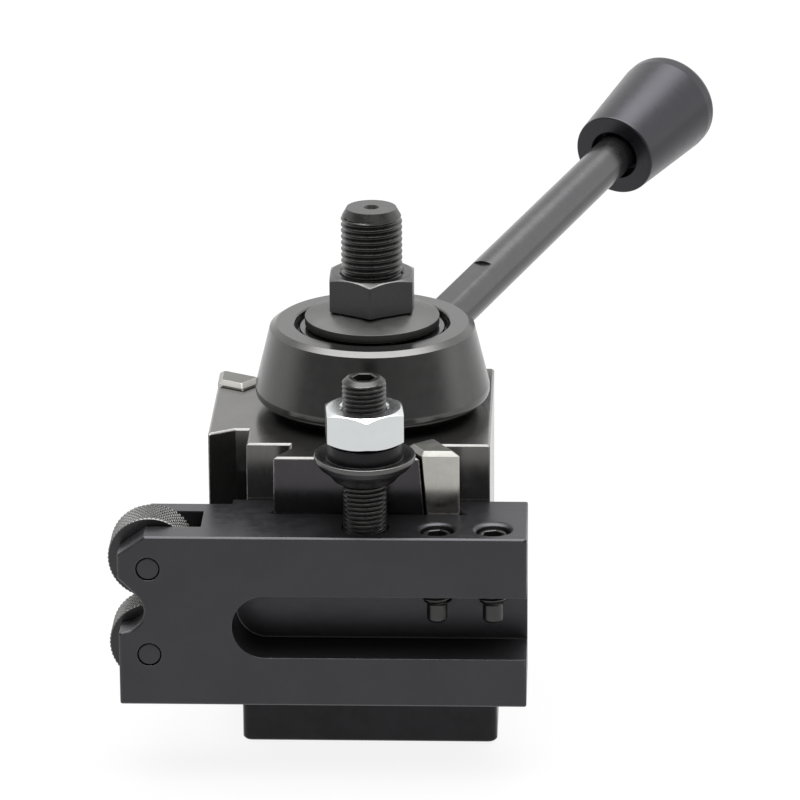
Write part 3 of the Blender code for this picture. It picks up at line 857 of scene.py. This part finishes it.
female = [(-21.75, -36.95), (22.2, -36.95), (18.35, -30.9), (18.35, -20.0), (-18.0, -20.0), (-18.0, -30.75)]
mouth = [(10.0, -0.35), (HOLD_Z0, -0.35), (HOLD_Z0 + 0.35, 0.0), (HOLD_Z1 - 0.35, 0.0), (HOLD_Z1, -0.35),
         (70.0, -0.35)]
tools = [tool("dovetail_tool", prism(female, mouth, 2)),
         tool("relief_tool", prism(box_outline(-60.0, -31.2, -30.5, -20.0), [(10.0, 0), (70.0, 0)], 2)),
         tool("pocket_tool", prism(box_outline(-60.0, -45.8, -36.8, -36.0),
                                   [(z, e * 0.5) for z, e in mouth], 2))]
SLOT_Z0, SLOT_Z1, SLOT_END, SLOT_FLOOR = 29.9, 44.5, -29.6, -40.0
slot_half = (SLOT_Z1 - SLOT_Z0) / 2.0
slot_mid = (SLOT_Z1 + SLOT_Z0) / 2.0


def slot_ring(y, grow):
    r = slot_half + grow
    ring = [(HOLD_X1 + 5.0, y, slot_mid - r), (HOLD_X1 + 5.0, y, slot_mid + r)]
    for k in range(41):
        angle = math.pi / 2.0 + math.pi * k / 40.0
        ring.append((SLOT_END + slot_half + r * math.cos(angle), y, slot_mid + r * math.sin(angle)))
    return ring


slot_levels = [(-60.0, 0.14), (HOLD_FRONT, 0.14), (HOLD_FRONT + 0.05, 0.05), (HOLD_FRONT + 0.14, 0.0),
               (SLOT_FLOOR - 0.5, 0.0), (SLOT_FLOOR - 0.15, -0.12), (SLOT_FLOOR, -0.5)]
tools.append(tool("slot_tool", loft_bm([slot_ring(y, grow) for y, grow in slot_levels])))
to_y = Matrix.Rotation(math.radians(-90.0), 4, 'X')
PIN_X, PIN_Z, PIN_R = -48.2, (30.5, 50.9), 2.55
SCREW_X, SCREW_Y, SCREW_R = (16.0, 28.5), -46.0, 3.5
for label, pin_z in zip(("lower", "upper"), PIN_Z):
    spot = shift(PIN_X, 0.0, pin_z) @ to_y
    tools.append(hole("pin_tool_" + label, PIN_R + 0.16, -60.0, -20.0, spot, mouth_low=HOLD_FRONT, lip=0.12))
for number, screw_x in enumerate(SCREW_X, start=1):
    spot = shift(screw_x, SCREW_Y)
    tools.append(hole("screw_tool_%d" % number, SCREW_R + 0.25, SLOT_Z1 - 2.0, 62.0, spot,
                      mouth_high=HOLD_Z1, lip=1.0))
tools.append(hole("height_tool", HEIGHT_R + 0.2, 46.7, 62.0, shift(0.0, HEIGHT_Y),
                  mouth_high=HOLD_Z1, lip=0.35))
shape(holder, tools)
piece(holder, "holder_body", "holder")

pin_profile = fillet([(0.0, -52.42), (PIN_R, -52.42), (PIN_R, -31.5), (0.0, -31.5)], [0, 0.35, 0.35, 0], 4,
                     closed=False)
for label, pin_z in zip(("lower", "upper"), PIN_Z):
    spot = shift(PIN_X, 0.0, pin_z) @ to_y
    pin = build("wheel_pin_%s_turned" % label, lathe_bm(pin_profile, 64), BLACK_HOLDER, spot)
    piece(pin, "wheel_pin_" + label, "holder")
    wheel = build("knurl_wheel_%s_cut" % label, knurled_bm(9.5, 4.6, PIN_R + 0.35), KNURLED,
                  shift(PIN_X, -40.9, pin_z) @ to_y, sharp=35.0)
    accent(wheel, BLACK_FASTENER, lambda face: abs(face.normal.z) > 0.8)
    piece(wheel, "knurl_wheel_" + label, label + "_wheel")


def screw_envelope(z):
    if z < 41.0:
        return 2.3 - max(0.0, 0.5 - (z - 36.8)) * 0.9
    return min(SCREW_R, 2.3 + (z - 41.0) * 1.2, 3.0 + (57.4 - z) * 1.0)


for number, screw_x in enumerate(SCREW_X, start=1):
    bm, low_ring, high_ring = threaded_bm(SCREW_R, 1.0, 36.8, 57.4, screw_envelope, segments=60)
    ring_cap(bm, low_ring, [(0.0, 36.8)])
    socket_cap(bm, high_ring, 57.4, 3.2, 4.0, math.radians(18.0))
    screw = build("tool_screw_%d_threaded" % number, bm, BLACK_THREAD, shift(screw_x, SCREW_Y), sharp=60.0)
    piece(screw, "tool_screw_%d" % number, "tool_screw_%d" % number)

# --- Height adjustment ---------------------------------------------------------------
at_height = shift(0.0, HEIGHT_Y)
HEIGHT_LOW, HEIGHT_TOP = height_low[2], height_high[2]


def height_envelope(z):
    return min(HEIGHT_R, 3.9 + (HEIGHT_TOP - z) * 1.1, 4.2 + (z - HEIGHT_LOW) * 1.0)


bm, low_ring, high_ring = threaded_bm(HEIGHT_R, HEIGHT_PITCH, HEIGHT_LOW, HEIGHT_TOP, height_envelope,
                                      crown=0.9)
ring_cap(bm, low_ring, [(0.0, HEIGHT_LOW)])
socket_cap(bm, high_ring, HEIGHT_TOP, 4.6, 4.4, math.radians(0.0), lip=0.12)
height_stud = build("height_stud_threaded", bm, BLACK_THREAD, at_height, sharp=60.0)
piece(height_stud, "height_stud", "holder")
flange = fillet(
    [(HEIGHT_R + GAP, 70.1), (6.9, 70.1), (8.25, 71.75), (10.2, 73.3), (11.3, 74.9), (11.3, 75.9),
     (10.3, 75.8), (8.5, 75.3), (8.3, 78.9), (HEIGHT_R + GAP, 78.9)],
    [0.1, 0.4, 3.0, 2.5, 0.8, 0.3, 0.6, 0.12, 0.3, 0.1], 6)
height_nut = build("height_nut_turned", lathe_bm(flange, 128), BLACK_FASTENER, at_height)
accent(height_nut, OXIDE_CHAMFER, lambda face: face.center.xy.length > 11.0 * MM)
# The neck above the flange takes the darkened black oxide: painted shade where the lock nut shades it.
accent(height_nut, PAINTED_SHADE_BLACK, lambda face: face.center.z > 75.3 * MM and face.center.xy.length < 10.0 * MM)
piece(height_nut, "height_nut", "height_nut")
lock_mesh = nut_bm(17.0, 79.2, 87.0, HEIGHT_R + 0.1, math.radians(-84.5), sink=0.6)
lock = build("height_lock_nut_hexagon", lock_mesh, ZINC, at_height)
piece(lock, "height_lock_nut", "lock_nut")

# --- Inner pieces keep their CAD shape -------------------------------------------------
for node in ("centre_bushing", "cam_sleeve", "hub_drive_pin_1", "hub_drive_pin_2"):
    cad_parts[node].data.materials.clear()
    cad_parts[node].data.materials.append(INNER)
for number in (1, 2, 3):
    node = "bushing_screw_%d" % number
    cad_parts[node].data.materials.clear()
    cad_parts[node].data.materials.append(BLACK_FASTENER)

# --- Camera ------------------------------------------------------------------------
TILT, YAW, ROLL = (math.radians(v) for v in (19.16, 2.11, -0.33))
SIDE, DROP, DISTANCE = -5.863, 68.772, 1220.44     # the stud's foot from the camera, along its axes
ahead = Vector((-math.sin(YAW) * math.cos(TILT), math.cos(YAW) * math.cos(TILT), -math.sin(TILT)))
level = Vector((math.cos(YAW), math.sin(YAW), 0.0))
down = Vector((math.sin(YAW) * math.sin(TILT), -math.cos(YAW) * math.sin(TILT), -math.cos(TILT)))
right = level * math.cos(ROLL) - down * math.sin(ROLL)
down = level * math.sin(ROLL) + down * math.cos(ROLL)
place = -(right * SIDE + down * DROP + ahead * DISTANCE) * MM
camera_data = bpy.data.cameras.new("camera")
camera_data.sensor_width = 36.0
camera_data.lens = 234.0
camera_data.clip_start = 0.05
camera_data.clip_end = 50.0
camera = bpy.data.objects.new("camera", camera_data)
turn = Matrix((right, -down, -ahead)).transposed()
camera.matrix_world = Matrix.Translation(place) @ turn.to_4x4()
bpy.context.scene.collection.objects.link(camera)
bpy.context.scene.camera = camera

# --- Floor, light ------------------------------------------------------------------
FLOOR_HALF = 4                  # metres
FLOOR_DROP = 0.0002             # metres below the part's underside
PAPER_TONE, PAPER_GLOW = 0.06, 0.88
floor_corners = [(-FLOOR_HALF, -FLOOR_HALF, 0), (FLOOR_HALF, -FLOOR_HALF, 0),
                 (FLOOR_HALF, FLOOR_HALF, 0), (-FLOOR_HALF, FLOOR_HALF, 0)]
floor_mesh = bpy.data.meshes.new("floor")
floor_mesh.from_pydata(floor_corners, [], [(0, 1, 2, 3)])
floor = bpy.data.objects.new("floor", floor_mesh)
floor.location.z = -FLOOR_DROP
bpy.context.scene.collection.objects.link(floor)
paper = bpy.data.materials.new("floor_paper")
paper.use_nodes = True
paper_shader = paper.node_tree.nodes["Principled BSDF"]
paper_shader.inputs["Base Color"].default_value = (PAPER_TONE, PAPER_TONE, PAPER_TONE, 1.0)
paper_shader.inputs["Roughness"].default_value = 0.9
paper_shader.inputs["Specular IOR Level"].default_value = 0.0
paper_shader.inputs["Emission Color"].default_value = (1.0, 1.0, 1.0, 1.0)
paper_shader.inputs["Emission Strength"].default_value = PAPER_GLOW
floor_mesh.materials.append(paper)

FRONT_GLOW, BACK_GLOW, TOP_GLOW, RIGHT_GLOW = 0.25, 1.18, 7.0, 1.40
world = bpy.data.worlds.new("studio")
world.use_nodes = True
bpy.context.scene.world = world
sky = world.node_tree


def sky_ramp(source, low, high, from_low, from_high):
    made = sky.nodes.new('ShaderNodeMapRange')
    made.interpolation_type = 'SMOOTHSTEP'
    for key, number in (("From Min", from_low), ("From Max", from_high)):
        made.inputs[key].default_value = number
    for key, value in (("To Min", low), ("To Max", high)):
        if isinstance(value, float):
            made.inputs[key].default_value = value
        else:
            sky.links.new(value, made.inputs[key])
    sky.links.new(source, made.inputs["Value"])
    return made.outputs[0]


heading = sky.nodes.new('ShaderNodeSeparateXYZ')
sky.links.new(sky.nodes.new('ShaderNodeTexCoord').outputs["Generated"], heading.inputs[0])
around = sky_ramp(heading.outputs[1], FRONT_GLOW, BACK_GLOW, -0.40, 0.20)
side = sky_ramp(heading.outputs[0], 1.0, RIGHT_GLOW, 0.10, 0.80)
gain = sky.nodes.new('ShaderNodeMath')
gain.operation = 'MULTIPLY'
sky.links.new(around, gain.inputs[0])
sky.links.new(side, gain.inputs[1])
around = gain.outputs[0]
glow = sky_ramp(heading.outputs[2], around, TOP_GLOW, 0.72, 0.92)
sky.links.new(glow, sky.nodes["Background"].inputs["Strength"])
sky.nodes["Background"].inputs["Color"].default_value = (1.0, 1.0, 1.0, 1.0)
bpy.context.scene.view_settings.view_transform = 'Standard'
